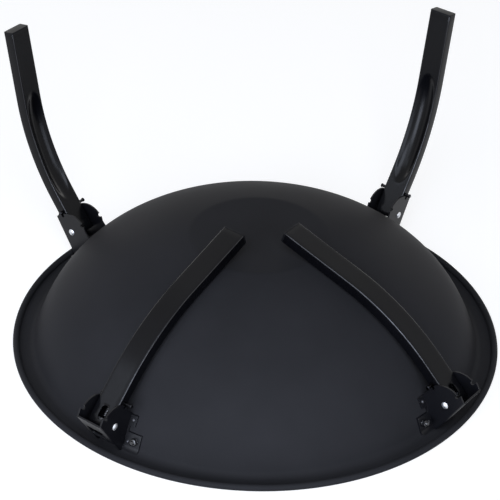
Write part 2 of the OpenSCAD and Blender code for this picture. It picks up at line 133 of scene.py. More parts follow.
# The tab rivets, each at (V, H) on both sides, and the seat of the heads inside the bowl.
TAB_RIVET_R, TAB_RIVET_HEAD_R, TAB_RIVET_HEAD_H = 1.5, 2.2, 1.2
TAB_RIVET_TAIL, TAB_RIVET_TAIL_R, TAB_RIVET_TAIL_EASE = 2, 1.87, 0.3
TAB_RIVETS = [(21.5, 11.8), (21.5, 36)]
INNER_SEAT = -SHEET - 0.1


def spread(first, last, count):
    """Evenly spaced values from first up to last, without last itself."""
    return [first + (last - first) * i / count for i in range(count)]


def slope_dir(angle):
    """A unit direction by its angle in degrees from the second axis."""
    return Vector((math.sin(math.radians(angle)), math.cos(math.radians(angle))))


def level_dir(angle):
    """A unit direction by its angle in degrees from the first axis."""
    return Vector((math.cos(math.radians(angle)), math.sin(math.radians(angle))))


# ---- The wall of the bowl: four arcs that run on from each other ----

def wall_arcs():
    """Centres and radii of the arcs: the crown's and the side's radius follow from the bowl's sizes."""
    crown_drop = slope_dir(SOFT_SLOPE).y - slope_dir(KNUCKLE_SLOPE).y
    crown_run = slope_dir(KNUCKLE_SLOPE).x - slope_dir(SOFT_SLOPE).x
    side_drop = slope_dir(KNUCKLE_SLOPE).y - slope_dir(WALL_SLOPE).y
    side_run = slope_dir(WALL_SLOPE).x - slope_dir(KNUCKLE_SLOPE).x
    drop = (BOWL_H - SHEET - BASE_EDGE_R * (1 - slope_dir(SOFT_SLOPE).y)
            - BRIM_FILLET_R * (1 - slope_dir(WALL_SLOPE).y))
    run = FOOT_R - BASE_R - BRIM_FILLET_R * slope_dir(WALL_SLOPE).x
    det = crown_drop * side_run - side_drop * crown_run
    crown_r = (drop * side_run - run * side_drop) / det
    side_r = (crown_drop * run - crown_run * drop) / det
    edge_c = Vector((BASE_R - BASE_EDGE_R * slope_dir(SOFT_SLOPE).x, BOWL_H - BASE_EDGE_R))
    crown_c = edge_c + (BASE_EDGE_R - crown_r) * slope_dir(SOFT_SLOPE)
    side_c = crown_c + (crown_r - side_r) * slope_dir(KNUCKLE_SLOPE)
    fillet_c = Vector((FOOT_R, SHEET + BRIM_FILLET_R))
    return edge_c, crown_c, crown_r, side_c, side_r, fillet_c


EDGE_C, CROWN_C, CROWN_R, SIDE_C, SIDE_R, FILLET_C = wall_arcs()


def arc(centre, r, start, end, steps):
    """Points of an arc from one slope to another, without its first point."""
    return [centre + r * slope_dir(start + (end - start) * i / steps) for i in range(1, steps + 1)]


def wall_line(grow, brim_end):
    """The outer face of the wall from the axis to the brim, moved out by grow, as (radius, height)."""
    base = [Vector((r, BOWL_H + grow)) for r in spread(0, EDGE_C.x, 4) + [EDGE_C.x]]
    return (base
            + arc(EDGE_C, BASE_EDGE_R + grow, 0, SOFT_SLOPE, steps=6)
            + arc(CROWN_C, CROWN_R + grow, SOFT_SLOPE, KNUCKLE_SLOPE, steps=14)
            + arc(SIDE_C, SIDE_R + grow, KNUCKLE_SLOPE, WALL_SLOPE, steps=30)
            + arc(FILLET_C, grow - BRIM_FILLET_R, WALL_SLOPE, 0, steps=12)
            + [Vector((brim_end - BEAD_R, SHEET + grow)), Vector((brim_end, SHEET + grow))])


def bowl_section():
    """The closed section of the pressed sheet, with the rolled bead round its rim."""
    centre = Vector((BOWL_R - BEAD_R, BEAD_R))
    steps = 30
    bead = [level_dir(270 + BEAD_TURN * i / steps) for i in range(1, steps + 1)]
    return (wall_line(0, centre.x)
            + [centre + (BEAD_R - SHEET) * d for d in bead]
            + [centre + BEAD_SKIN_R * d for d in reversed(bead)]
            + list(reversed(wall_line(-SHEET, centre.x))))


# ---- Frames of the corners, the legs and the places on the wall ----

def corner_matrix(i):
    """The turn that brings a corner's own frame, with X outwards, to its place."""
    return Matrix.Rotation(math.radians(FIRST_CORNER + 90 * i), 4, "Z")


def leg_matrix(i):
    """A leg's own frame, with X along its root, Y to its hollow side and Z along the hinge."""
    lean = LEG_OPEN + LEG_FOLD if FOLDED[i] else LEG_OPEN
    return (corner_matrix(i)
            @ Matrix.Translation(PIVOT)
            @ Matrix.Rotation(math.radians(-lean), 4, "Y")
            @ Matrix.Rotation(RIGHT_ANGLE, 4, "X"))


def wall_place(i, side, v, h):
    """A place on the wall beside corner i, with Z square to the wall."""
    lean = math.acos((h - SIDE_C.y) / SIDE_R)
    radius = SIDE_C.x + SIDE_R * math.sin(lean)
    return (corner_matrix(i)
            @ Matrix.Rotation(side * math.asin(v / radius), 4, "Z")
            @ Matrix.Translation((radius, 0, h))
            @ Matrix.Rotation(lean, 4, "Y"))


# ---- Mesh helpers ----

def add_object(name, mesh):
    made = bpy.data.objects.new(name, mesh)
    bpy.context.scene.collection.objects.link(made)
    return made


def add_mesh(name, points, faces, edges=()):
    """A new object from points in millimetres."""
    mesh = bpy.data.meshes.new(name)
    mesh.from_pydata([Vector(p) * MM for p in points], list(edges), faces)
    mesh.update()
    return add_object(name, mesh)


def add_line(name, points):
    """An open line of edges, for a tree to turn or to sweep."""
    points = [Vector((*p, 0)) if len(p) == 2 else Vector(p) for p in points]
    return add_mesh(name, points, [], [(i, i + 1) for i in range(len(points) - 1)])


def baked(maker, name):
    """The evaluated shape of a maker object as a plain mesh; the maker goes, with its modifiers."""
    graph = bpy.context.evaluated_depsgraph_get()
    mesh = bpy.data.meshes.new_from_object(maker.evaluated_get(graph), depsgraph=graph)
    mesh.name = name
    bpy.data.objects.remove(maker)
    return add_object(name, mesh)


def outward(made):
    """Welds doubles and turns every face of a closed shape outwards."""
    bm = bmesh.new()
    bm.from_mesh(made.data)
    bmesh.ops.remove_doubles(bm, verts=bm.verts, dist=WELD)
    bmesh.ops.recalc_face_normals(bm, faces=bm.faces)
    bm.to_mesh(made.data)
    bm.free()
    return made


def cut_by(made, cutters):
    """Adds a cut by each cutter, which has to stay until the shape is baked."""
    for cutter in cutters:
        cut = made.modifiers.new(cutter.name, "BOOLEAN")
        cut.object = cutter
        cut.operation = "DIFFERENCE"
        cut.solver = "EXACT"


def drop_objects(objects):
    for one in objects:
        bpy.data.objects.remove(one)


def eased(made, width, sharpest):
    """Bevels the edges that turn by more than an angle, and marks them with a second material, the mask of a
    painted edge highlight.
    """
    ease = made.modifiers.new("eased_edges", "BEVEL")
    ease.width = width * MM
    ease.segments = 2
    ease.limit_method = "ANGLE"
    ease.angle_limit = math.radians(sharpest)
    while len(made.data.materials) < 2:
        made.data.materials.append(None)
    ease.material = 1


def painted_highlight_mask(made):
    """Turns the second material of a shape, which marks its edges, into the mask of the painted edge
    highlight that a material reads.
    """
    mask = made.data.attributes.new("painted_highlight", "FLOAT", "FACE")
    for face in made.data.polygons:
        mask.data[face.index].value = face.material_index
        face.material_index = 0
    made.data.materials.clear()
    return made


def smooth(made, sharp=35):
    """Shades a shape smooth, but for edges that turn by more than an angle."""
    made.data.shade_smooth()
    made.data.set_sharp_from_angle(angle=math.radians(sharp))
    return made


def rings_mesh(name, rings, close_start=True, close_end=True):
    """A skin through rings of points with the same count each."""
    count = len(rings[0])
    points = [p for ring in rings for p in ring]
    faces = []
    for r in range(len(rings) - 1):
        for k in range(count):
            a, b = r * count + k, r * count + (k + 1) % count
            faces.append((a, b, b + count, a + count))
    if close_start:
        faces.append(tuple(reversed(range(count))))
    if close_end:
        faces.append(tuple(range((len(rings) - 1) * count, len(rings) * count)))
    return add_mesh(name, points, faces)


# ---- Geometry Nodes ----

class Tree:
    """A Geometry Nodes tree with named inputs, and links made by socket name."""

    def __init__(self, name, inputs):
        self.tree = bpy.data.node_groups.new(name, "GeometryNodeTree")
        face = self.tree.interface
        face.new_socket("Geometry", in_out="INPUT", socket_type="NodeSocketGeometry")
        self.ids = {}
        for label, kind, value in inputs:
            socket = face.new_socket(label, in_out="INPUT", socket_type="NodeSocket" + kind)
            if value is not None:
                socket.default_value = value
            self.ids[label] = socket.identifier
        face.new_socket("Geometry", in_out="OUTPUT", socket_type="NodeSocketGeometry")
        self.start = self.tree.nodes.new("NodeGroupInput")
        self.end = self.tree.nodes.new("NodeGroupOutput")

    def node(self, kind, **values):
        made = self.tree.nodes.new(kind)
        for label, value in values.items():
            if hasattr(made, label):
                setattr(made, label, value)
            else:
                made.inputs[label.replace("_", " ")].default_value = value
        return made

    def link(self, source, output, target, label):
        self.tree.links.new(source.outputs[output], target.inputs[label])

    def finish(self, last, output):
        """Every tree ends in Realize Instances and Set Material."""
        realize = self.node("GeometryNodeRealizeInstances")
        paint = self.node("GeometryNodeSetMaterial")
        self.link(last, output, realize, "Geometry")
        self.link(realize, "Geometry", paint, "Geometry")
        self.link(self.start, "Finish", paint, "Material")
        self.link(paint, "Geometry", self.end, "Geometry")
        return self

    def run(self, maker, name, **values):
        """Puts the tree on a maker object, sets its inputs and bakes it."""
        modifier = maker.modifiers.new(name, "NODES")
        modifier.node_group = self.tree
        for label, value in values.items():
            modifier[self.ids[label]] = value
        return baked(maker, name)


def turning_tree():
    """Turns a section line, (radius, -height), round the Z axis."""
    path_r = 0.1
    t = Tree("turned_section", [("Segments", "Int", 64), ("Finish", "Material", None)])
    line = t.node("GeometryNodeMeshToCurve")
    shift = t.node("GeometryNodeTransform", Translation=(-path_r, 0, 0))
    path = t.node("GeometryNodeCurvePrimitiveCircle", Radius=path_r)
    upright = t.node("GeometryNodeSetCurveNormal", mode="Z_UP")
    skin = t.node("GeometryNodeCurveToMesh")
    weld = t.node("GeometryNodeMergeByDistance", Distance=10 * WELD)
    t.link(t.start, "Geometry", line, "Mesh")
    t.link(line, "Curve", shift, "Geometry")
    t.link(t.start, "Segments", path, "Resolution")
    t.link(path, "Curve", upright, "Curve")
    t.link(upright, "Curve", skin, "Curve")
    t.link(shift, "Geometry", skin, "Profile Curve")
    t.link(skin, "Mesh", weld, "Geometry")
    return t.finish(weld, "Geometry")


def placing_tree():
    """Sets a part out on points, each turned by the point's own turn."""
    t = Tree("set_out_parts", [("Part", "Object", None), ("Finish", "Material", None)])
    part = t.node("GeometryNodeObjectInfo", transform_space="ORIGINAL")
    turn = t.node("GeometryNodeInputNamedAttribute", data_type="FLOAT_VECTOR", Name="turn")
    rotation = t.node("FunctionNodeEulerToRotation")
    place = t.node("GeometryNodeInstanceOnPoints")
    t.link(t.start, "Part", part, "Object")
    t.link(t.start, "Geometry", place, "Points")
    t.link(part, "Geometry", place, "Instance")
    t.link(turn, "Attribute", rotation, "Euler")
    t.link(rotation, "Rotation", place, "Rotation")
    return t.finish(place, "Instances")


def wire_tree():
    """Draws a round wire along a line."""
    inputs = [("Wire radius", "Float", 0.0005), ("Sides", "Int", 12), ("Finish", "Material", None)]
    t = Tree("drawn_wire", inputs)
    line = t.node("GeometryNodeMeshToCurve")
    ring = t.node("GeometryNodeCurvePrimitiveCircle")
    skin = t.node("GeometryNodeCurveToMesh", Fill_Caps=True)
    t.link(t.start, "Geometry", line, "Mesh")
    t.link(t.start, "Sides", ring, "Resolution")
    t.link(t.start, "Wire radius", ring, "Radius")
    t.link(line, "Curve", skin, "Curve")
    t.link(ring, "Curve", skin, "Profile Curve")
    return t.finish(skin, "Mesh")


TURNING = turning_tree()
PLACING = placing_tree()
WIRE = wire_tree()


def turned(name, section, segments, finish):
    """A turned shape from its section, (radius, height) in millimetres."""
    maker = add_line(name + "_section", [(p[0], -p[1]) for p in section])
    return outward(TURNING.run(maker, name, Segments=segments, Finish=finish))


def set_out(name, part, places, finish):
    """Copies of a part at each place, as one mesh; the part goes."""
    maker = add_mesh(name + "_places", [p.to_translation() for p in places], [])
    turns = maker.data.attributes.new("turn", "FLOAT_VECTOR", "POINT")
    for i, p in enumerate(places):
        turns.data[i].vector = p.to_euler()
    made = PLACING.run(maker, name, Part=part, Finish=finish)
    bpy.data.objects.remove(part)
    return made


# ---- Materials ----

def value_group(name, inputs, outputs):
    """A shader node group that puts out masks, colours or heights."""
    group = bpy.data.node_groups.new(name, "ShaderNodeTree")
    for label, value in inputs:
        socket = group.interface.new_socket(label, in_out="INPUT", socket_type="NodeSocketFloat")
        socket.default_value = value
    for label in outputs:
        group.interface.new_socket(label, in_out="OUTPUT", socket_type="NodeSocketFloat")
    start = group.nodes.new("NodeGroupInput")
    end = group.nodes.new("NodeGroupOutput")
    coords = group.nodes.new("ShaderNodeTexCoord")
    return group, start, end, coords


def noise(group, coords, scale, detail, rough):
    """Noise on Object coordinates, with its scale a number or a socket."""
    made = group.nodes.new("ShaderNodeTexNoise")
    made.inputs["Detail"].default_value = detail
    made.inputs["Roughness"].default_value = rough
    group.links.new(coords.outputs["Object"], made.inputs["Vector"])
    if isinstance(scale, float):
        made.inputs["Scale"].default_value = scale
    else:
        group.links.new(scale, made.inputs["Scale"])
    return made


def map_range(group, source, low, high, to_low=0.0, to_high=1.0):
    made = group.nodes.new("ShaderNodeMapRange")
    for label, value in (("From Min", low), ("From Max", high), ("To Min", to_low), ("To Max", to_high)):
        made.inputs[label].default_value = value
    group.links.new(source, made.inputs["Value"])
    return made.outputs["Result"]


def coat_grain_group():
    """The fine pebble of a baked or sprayed coat, and broad uneven patches in it."""
    group, start, end, coords = value_group(
        "coat_grain", [("Grain scale", 900.0), ("Patch scale", 9.0)], ["Height", "Patches"])
    grain = noise(group, coords, start.outputs["Grain scale"], detail=3.0, rough=0.6)
    patches = noise(group, coords, start.outputs["Patch scale"], detail=4.0, rough=0.55)
    group.links.new(grain.outputs["Fac"], end.inputs["Height"])
    group.links.new(map_range(group, patches.outputs["Fac"], 0.32, 0.68), end.inputs["Patches"])
    return group


def plate_sheen_group():
    """Fine lines and cloudy patches of zinc plating on small steel parts."""
    group, start, end, coords = value_group("plate_sheen", [("Line scale", 2600.0)], ["Height", "Clouds"])
    lines = noise(group, coords, start.outputs["Line scale"], detail=2.0, rough=0.5)
    clouds = noise(group, coords, 320.0, detail=3.0, rough=0.6)
    group.links.new(lines.outputs["Fac"], end.inputs["Height"])
    group.links.new(map_range(group, clouds.outputs["Fac"], 0.35, 0.65), end.inputs["Clouds"])
    return group


def painted_edge_highlight_group():
    """A painted edge highlight: a coat made lighter and metallic along an edge, standing in for the light
    that the rounded edge catches, with fine breaks in it.
    """
    inputs = [("Edge", 0.0), ("Break scale", 70.0)]
    group, start, end, coords = value_group("painted_edge_highlight", inputs, ["Rubbed"])
    breaks = noise(group, coords, start.outputs["Break scale"], detail=3.0, rough=0.6)
    product = group.nodes.new("ShaderNodeMath")
    product.operation = "MULTIPLY"
    group.links.new(start.outputs["Edge"], product.inputs[0])
    group.links.new(map_range(group, breaks.outputs["Fac"], 0.30, 0.60, 0.55, 1.0), product.inputs[1])
    group.links.new(product.outputs[0], end.inputs["Rubbed"])
    return group


COAT_GRAIN = coat_grain_group()
PAINTED_EDGE_HIGHLIGHT = painted_edge_highlight_group()
PLATE_SHEEN = plate_sheen_group()


def new_material(name):
    made = bpy.data.materials.new(name)
    made.use_nodes = True
    shader = made.node_tree.nodes["Principled BSDF"]
    return made, made.node_tree, shader


def colour_mix(tree, mask, low, high):
    mix = tree.nodes.new("ShaderNodeMix")
    mix.data_type = "RGBA"
    if isinstance(low, tuple):
        mix.inputs["A"].default_value = (*low, 1)
    else:
        tree.links.new(low, mix.inputs["A"])
    mix.inputs["B"].default_value = (*high, 1)
    tree.links.new(mask, mix.inputs["Factor"])
    return mix.outputs["Result"]


def bumped(tree, shader, height, strength, distance):
    bump = tree.nodes.new("ShaderNodeBump")
    bump.inputs["Strength"].default_value = strength
    bump.inputs["Distance"].default_value = distance
    tree.links.new(height, bump.inputs["Height"])
    tree.links.new(bump.outputs["Normal"], shader.inputs["Normal"])


def group_node(tree, group, **values):
    made = tree.nodes.new("ShaderNodeGroup")
    made.node_tree = group
    for label, value in values.items():
        made.inputs[label.replace("_", " ")].default_value = value
    return made


def black_coat(name, dark, light, rough, specular, grain, bump, painted_highlight=None):
    """Black paint or powder coat: near-black with broad soft patches, a fine pebble in its gloss, and a
    painted highlight along marked edges if its colour is given.
    """
    made, tree, shader = new_material(name)
    coat = group_node(tree, COAT_GRAIN, Grain_scale=grain)
    colour = colour_mix(tree, coat.outputs["Patches"], dark, light)
    # Painted highlight: marked edges get a lighter, metallic colour that stands in for the light they catch.
    if painted_highlight:
        edge = tree.nodes.new("ShaderNodeAttribute")
        edge.attribute_name = "painted_highlight"
        painted_edge = group_node(tree, PAINTED_EDGE_HIGHLIGHT)
        tree.links.new(edge.outputs["Fac"], painted_edge.inputs["Edge"])
        colour = colour_mix(tree, painted_edge.outputs["Rubbed"], colour, painted_highlight)
        tree.links.new(painted_edge.outputs["Rubbed"], shader.inputs["Metallic"])
    tree.links.new(colour, shader.inputs["Base Color"])
    roughness = map_range(tree, coat.outputs["Patches"], 0, 1, *rough)
    tree.links.new(roughness, shader.inputs["Roughness"])
    shader.inputs["Specular IOR Level"].default_value = specular
    bumped(tree, shader, coat.outputs["Height"], strength=bump, distance=0.0002)
    return made


def plated(name, dark, light, rough, lines=2600.0):
    """Bright or blackened steel, with clouds in its tone and fine lines in its gloss."""
    made, tree, shader = new_material(name)
    sheen = group_node(tree, PLATE_SHEEN, Line_scale=lines)
    colour = colour_mix(tree, sheen.outputs["Clouds"], dark, light)
    roughness = map_range(tree, sheen.outputs["Clouds"], 0, 1, *rough)
    tree.links.new(colour, shader.inputs["Base Color"])
    tree.links.new(roughness, shader.inputs["Roughness"])
    shader.inputs["Metallic"].default_value = 1.0
    bumped(tree, shader, sheen.outputs["Height"], strength=0.12, distance=0.0001)
    return made


BOWL_COAT = black_coat(
    "bowl_coat", dark=(0.0182, 0.0178, 0.0188), light=(0.0222, 0.0216, 0.0228),
    rough=(0.50, 0.57), specular=0.022, grain=1100.0, bump=0.10)
# The bracket and leg coats end in the colour of a painted highlight on their eased edges.
BRACKET_COAT = black_coat(
    "bracket_coat", dark=(0.0024, 0.0024, 0.0034), light=(0.0038, 0.0038, 0.0050),
    rough=(0.34, 0.42), specular=0.22, grain=1300.0, bump=0.10, painted_highlight=(0.055, 0.055, 0.058))
LEG_COAT = black_coat(
    "leg_coat", dark=(0.0018, 0.0018, 0.0024), light=(0.0028, 0.0028, 0.0036),
    rough=(0.19, 0.26), specular=0.135, grain=1500.0, bump=0.05, painted_highlight=(0.060, 0.060, 0.064))
CAP_PLASTIC = black_coat(
    "cap_plastic", dark=(0.0050, 0.0050, 0.0056), light=(0.0080, 0.0080, 0.0086),
    rough=(0.30, 0.38), specular=0.08, grain=2000.0, bump=0.08)
BOLT_COAT = black_coat(
    "bolt_coat", dark=(0.0045, 0.0045, 0.0055), light=(0.0080, 0.0080, 0.0090),
    rough=(0.16, 0.24), specular=0.62, grain=1800.0, bump=0.10)
BRIGHT_ZINC = plated(
    "bright_zinc", dark=(0.52, 0.53, 0.55), light=(0.68, 0.69, 0.71), rough=(0.40, 0.50))
DARK_ZINC = plated(
    "dark_zinc", dark=(0.050, 0.050, 0.056), light=(0.085, 0.085, 0.092), rough=(0.42, 0.54))
BLACK_STEEL = plated(
    "black_steel", dark=(0.012, 0.012, 0.014), light=(0.026, 0.026, 0.029), rough=(0.22, 0.34))
SPRING_STEEL = plated(
    "spring_steel", dark=(0.18, 0.18, 0.19), light=(0.30, 0.30, 0.32), rough=(0.24, 0.34), lines=3400.0)


def finish_piece(made, body, slot, finish, *nodes):
    """Gives a piece its material and its body if it keeps to one, and hides the CAD nodes it stands for; its
    slot argument is not used.
    """
    made.data.materials.clear()
    made.data.materials.append(finish)
    if body:
        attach(made, body)
    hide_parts(*nodes)


def nodes_named(first):
    return [f"{first}_{c}" for c in CORNERS]


# ---- Bowl ----

bowl = smooth(turned("bowl_shell", bowl_section(), segments=300, finish=BOWL_COAT), sharp=30)
finish_piece(bowl, "bowl", "bowl_black", BOWL_COAT, "bowl")


# ---- Hinge brackets ----

def bracket_part():
    """The folded plate of the frame's first bracket with its cut edges eased, in a corner's own frame."""
    source = frame["nodes"]["bracket_rear_right"]
    made = add_object("bracket_part", source.data.copy())
    made.data.transform(corner_matrix(0).inverted())
    flat_within = math.radians(0.4)
    bm = bmesh.new()
    bm.from_mesh(made.data)
    bmesh.ops.remove_doubles(bm, verts=bm.verts, dist=10 * WELD)
    bmesh.ops.dissolve_limit(bm, angle_limit=flat_within, verts=bm.verts, edges=bm.edges)
    bm.to_mesh(made.data)
    bm.free()
    eased(made, width=0.3, sharpest=40)
    made.data.shade_smooth()
    even = made.modifiers.new("even_shading", "WEIGHTED_NORMAL")
    even.keep_sharp = True
    return painted_highlight_mask(baked(made, "bracket_part"))


brackets = set_out("hinge_brackets", bracket_part(), [corner_matrix(i) for i in range(4)], BRACKET_COAT)
finish_piece(brackets, "bowl", "bracket_black", BRACKET_COAT, *nodes_named("bracket"))


# ---- Rivets, bolts, nuts and washers ----

def dome(head_r, head_h, base, steps=8):
    """A domed head's outline from its edge to its top, above a base height."""
    r = (head_r * head_r + head_h * head_h) / (2 * head_h)
    last = math.asin(head_r / r)
    angles = [last * (1 - i / steps) for i in range(steps + 1)]
    return [(r * math.sin(a), base + head_h - r + r * math.cos(a)) for a in angles]


def hinge_rivet_part():
    """A shank through both ears with the same low domed head at each end."""
    upper = [(RIVET_R, EAR_OUT), (RIVET_HEAD_R - HEAD_EDGE, EAR_OUT)]
    upper += dome(RIVET_HEAD_R, RIVET_HEAD_H - UNDERCUT, EAR_OUT + UNDERCUT)
    lower = [(r, -h) for r, h in reversed(upper)]
    return turned("hinge_rivet_part", lower + upper, segments=48, finish=BRIGHT_ZINC)


def hinge_places():
    lying = Matrix.Translation(PIVOT) @ Matrix.Rotation(RIGHT_ANGLE, 4, "X")
    return [corner_matrix(i) @ lying for i in range(4)]


rivets = smooth(set_out("hinge_rivets", hinge_rivet_part(), hinge_places(), BRIGHT_ZINC))
finish_piece(rivets, "bowl", "bright_zinc", BRIGHT_ZINC, *nodes_named("hinge_rivet"))


def cross_cutter(half, arm, low, high, taper):
    """A tapered cross for a driver, full size at low and smaller at high."""
    outline = [(half, -arm), (half, arm), (arm, arm), (arm, half), (-arm, half), (-arm, arm),
               (-half, arm), (-half, -arm), (-arm, -arm), (-arm, -half), (arm, -half), (arm, -arm)]
    rings = [[(x * k, y * k, h) for x, y in outline] for h, k in ((low, 1), (high, taper))]
    return outward(rings_mesh("cross_cutter", rings))


def bolt_part():
    """Shank with a threaded end, and a domed head with a cross recess under the sheet."""
    nut_top = BRACKET_T + WASHER_T + NUT_H
    top = nut_top + BOLT_END
    crown = [(0, 1), (0.45, 0.97), (0.75, 0.80), (0.93, 0.50), (1, 0.20), (1, 0)]
    head = [(BOLT_HEAD_R * r, INNER_SEAT - BOLT_HEAD_H * h) for r, h in crown] + [(BOLT_R, INNER_SEAT)]
    thread = []
    h = nut_top - THREAD_PITCH
    while h + THREAD_PITCH < top - BOLT_POINT:
        thread += [(BOLT_R, h), (BOLT_R - THREAD_DEPTH, h + THREAD_PITCH / 2)]
        h += THREAD_PITCH
    thread += [(BOLT_R, h), (BOLT_R - BOLT_POINT, top), (0, top)]
    made = turned("bolt_blank", head + thread, segments=40, finish=BOLT_COAT)
    start = INNER_SEAT - BOLT_HEAD_H
    cutters = [cross_cutter(CROSS_HALF, CROSS_ARM, start - CUT_PAST, start + CROSS_DEPTH, CROSS_TAPER)]
    cut_by(made, cutters)
    made = baked(made, "bolt_part")
    drop_objects(cutters)
    return made


def nut_part():
    """Hexagon nut with chamfered corners and an open bore."""
    base, top = BRACKET_T + WASHER_T, BRACKET_T + WASHER_T + NUT_H
    flat, bore = NUT_W / 2, BOLT_R + BORE_FIT
    face = flat * NUT_FACE
    rays = []
    for turn in range(0, 360, 5):
        angle = math.radians(turn)
        across = (angle + math.pi / 6) % (math.pi / 3) - math.pi / 6
        r = flat / math.cos(across)
        drop = max(0.0, r - face) * NUT_CHAMFER
        section = [(bore, base), (bore, top), (face, top), (r, top - drop), (r, base + drop), (face, base)]
        rays.append([(radius * math.cos(angle), radius * math.sin(angle), h) for radius, h in section])
    rings = [list(ring) for ring in zip(*rays)]
    return outward(rings_mesh("nut_part", rings + [rings[0]], False, False))


def washer_part():
    """A flat ring, eased more at its upper edge."""
    base, top = BRACKET_T, BRACKET_T + WASHER_T
    bore, ease = BOLT_R + BORE_FIT, WASHER_EASE
    section = [(bore, base), (bore, top), (WASHER_R - ease, top), (WASHER_R, top - ease),
               (WASHER_R, base + ease / 2), (WASHER_R - ease / 2, base), (bore, base)]
    return turned("washer_part", section, segments=40, finish=BOLT_COAT)


def tab_rivet_part():
    """A shank through tab and wall, a domed head outside and a straight tail inside."""
    tail, tail_r, ease = INNER_SEAT - TAB_RIVET_TAIL, TAB_RIVET_TAIL_R, TAB_RIVET_TAIL_EASE
    section = [(0, tail), (tail_r - ease, tail), (tail_r, tail + ease), (tail_r, tail + TAB_RIVET_TAIL),
               (TAB_RIVET_R, tail + TAB_RIVET_TAIL), (TAB_RIVET_R, BRACKET_T),
               (TAB_RIVET_HEAD_R - UNDERCUT, BRACKET_T)]
    section += dome(TAB_RIVET_HEAD_R, TAB_RIVET_HEAD_H - UNDERCUT, BRACKET_T + UNDERCUT)
    return turned("tab_rivet_part", section, segments=32, finish=DARK_ZINC)


bolt_places = [wall_place(i, side, BOLT_V, BOLT_H) for i in range(4) for side in (-1, 1)]
tab_rivet_places = [wall_place(i, side, v, h)
                    for i in range(4) for v, h in TAB_RIVETS for side in (-1, 1)]
bolt_set = {"bracket_bolts": bolt_part(), "bracket_nuts": nut_part(), "bracket_washers": washer_part()}
for name, part in bolt_set.items():
    made = smooth(set_out("set_of_" + name, part, bolt_places, BOLT_COAT))
    finish_piece(made, "bowl", "bracket_black", BOLT_COAT, *nodes_named(name))
tab_rivets = smooth(set_out("set_of_tab_rivets", tab_rivet_part(), tab_rivet_places, DARK_ZINC))
finish_piece(tab_rivets, "bowl", "dark_zinc", DARK_ZINC, *nodes_named("tab_rivets"))


# ---- Legs ----

def leg_station(s):
    """Place, direction and hollow side of the tube's middle line, s along it from the hinge pin."""
    centre = Vector((LEG_ROOT, LEG_SHIFT + LEG_BEND_R))
    turn = math.degrees(min(max(s - LEG_ROOT, 0), LEG_BEND_LEN) / LEG_BEND_R)
    past_bend = max(s - LEG_ROOT - LEG_BEND_LEN, 0)
    if s <= LEG_ROOT:
        place = Vector((s, LEG_SHIFT))
    else:
        place = centre + LEG_BEND_R * level_dir(turn - 90) + past_bend * level_dir(LEG_BEND)
    return place, level_dir(turn), level_dir(turn + 90)


def pressed(s, n, b, inset):
    """How far the hollow side lies from the middle line, b off its middle, with the trough pressed in."""
    away = abs(s - (LEG_ROOT + LEG_BEND_LEN / 2)) / TROUGH_HALF
    depth = TROUGH_DEPTH * (1 - away ** TROUGH_BLUNT)
    r = TROUGH_R + inset
    if abs(b) >= r or depth < -2 * TROUGH_LIP:
        return n
    floor = LEG_D / 2 - depth + TROUGH_R - math.sqrt(r * r - b * b)
    blend = max(TROUGH_LIP - abs(n - floor), 0) / TROUGH_LIP
    return min(n, floor) - blend * blend * TROUGH_LIP / 4


def round_corners(d, w, r, steps):
    """The four rounded corners of a rectangle 2d by 2w, each a list of (towards the hollow side, across)."""
    corners = []
    for n, b, start in ((d - r, w - r, 0), (r - d, w - r, 90), (r - d, r - w, 180), (d - r, r - w, 270)):
        turn = [math.radians(start + 90 * i / steps) for i in range(steps + 1)]
        corners.append([(n + r * math.cos(t), b + r * math.sin(t)) for t in turn])
    return corners


def tube_outline(inset):
    """(towards the hollow side, across) round the tube, with a fine hollow side for the trough."""
    w, d, r = LEG_W / 2 - inset, LEG_D / 2 - inset, LEG_CORNER_R - inset
    fine, coarse = 24, 6
    first, second, third, fourth = round_corners(d, w, r, steps=5)
    hollow_side = [(d, (w - r) * (2 * i / fine - 1)) for i in range(1, fine)]
    far_side = [(-d, (w - r) * (1 - 2 * i / coarse)) for i in range(1, coarse)]
    return hollow_side + first + second + far_side + third + fourth


def corner_facets():
    """The facets of the outline that lie across its corners, at 45 degrees."""
    line = tube_outline(0)
    steps = [(n1 - n0, b1 - b0) for (n0, b0), (n1, b1) in zip(line, line[1:] + line[:1])]
    return [k for k, (n, b) in enumerate(steps) if abs(abs(n) - abs(b)) < NEARLY]


def tube_ring(s, inset):
    """The tube's outline at s along the middle line, as points in the leg's own frame."""
    place, _, hollow = leg_station(s)
    ring = []
    for n, b in tube_outline(inset):
        if n > LEG_D / 2 - inset - NEARLY:
            n = pressed(s, n, b, inset)
        p = place + n * hollow
        ring.append((p.x, p.y, b))
    return ring


def slot_cutter(name, x0, x1, r, low, high, axis):
    """A bar with round ends, their centres at x0 and x1, along the axis Y or Z of the leg."""
    steps = 20
    outline = [Vector((x1, 0)) + r * level_dir(-90 + 180 * i / steps) for i in range(steps + 1)]
    outline += [Vector((x0, 0)) + r * level_dir(90 + 180 * i / steps) for i in range(steps + 1)]
    if axis == "Z":
        rings = [[(p.x, p.y, h) for p in outline] for h in (low, high)]
    else:
        rings = [[(p.x, h, p.y) for p in outline] for h in (low, high)]
    return outward(rings_mesh(name, rings))


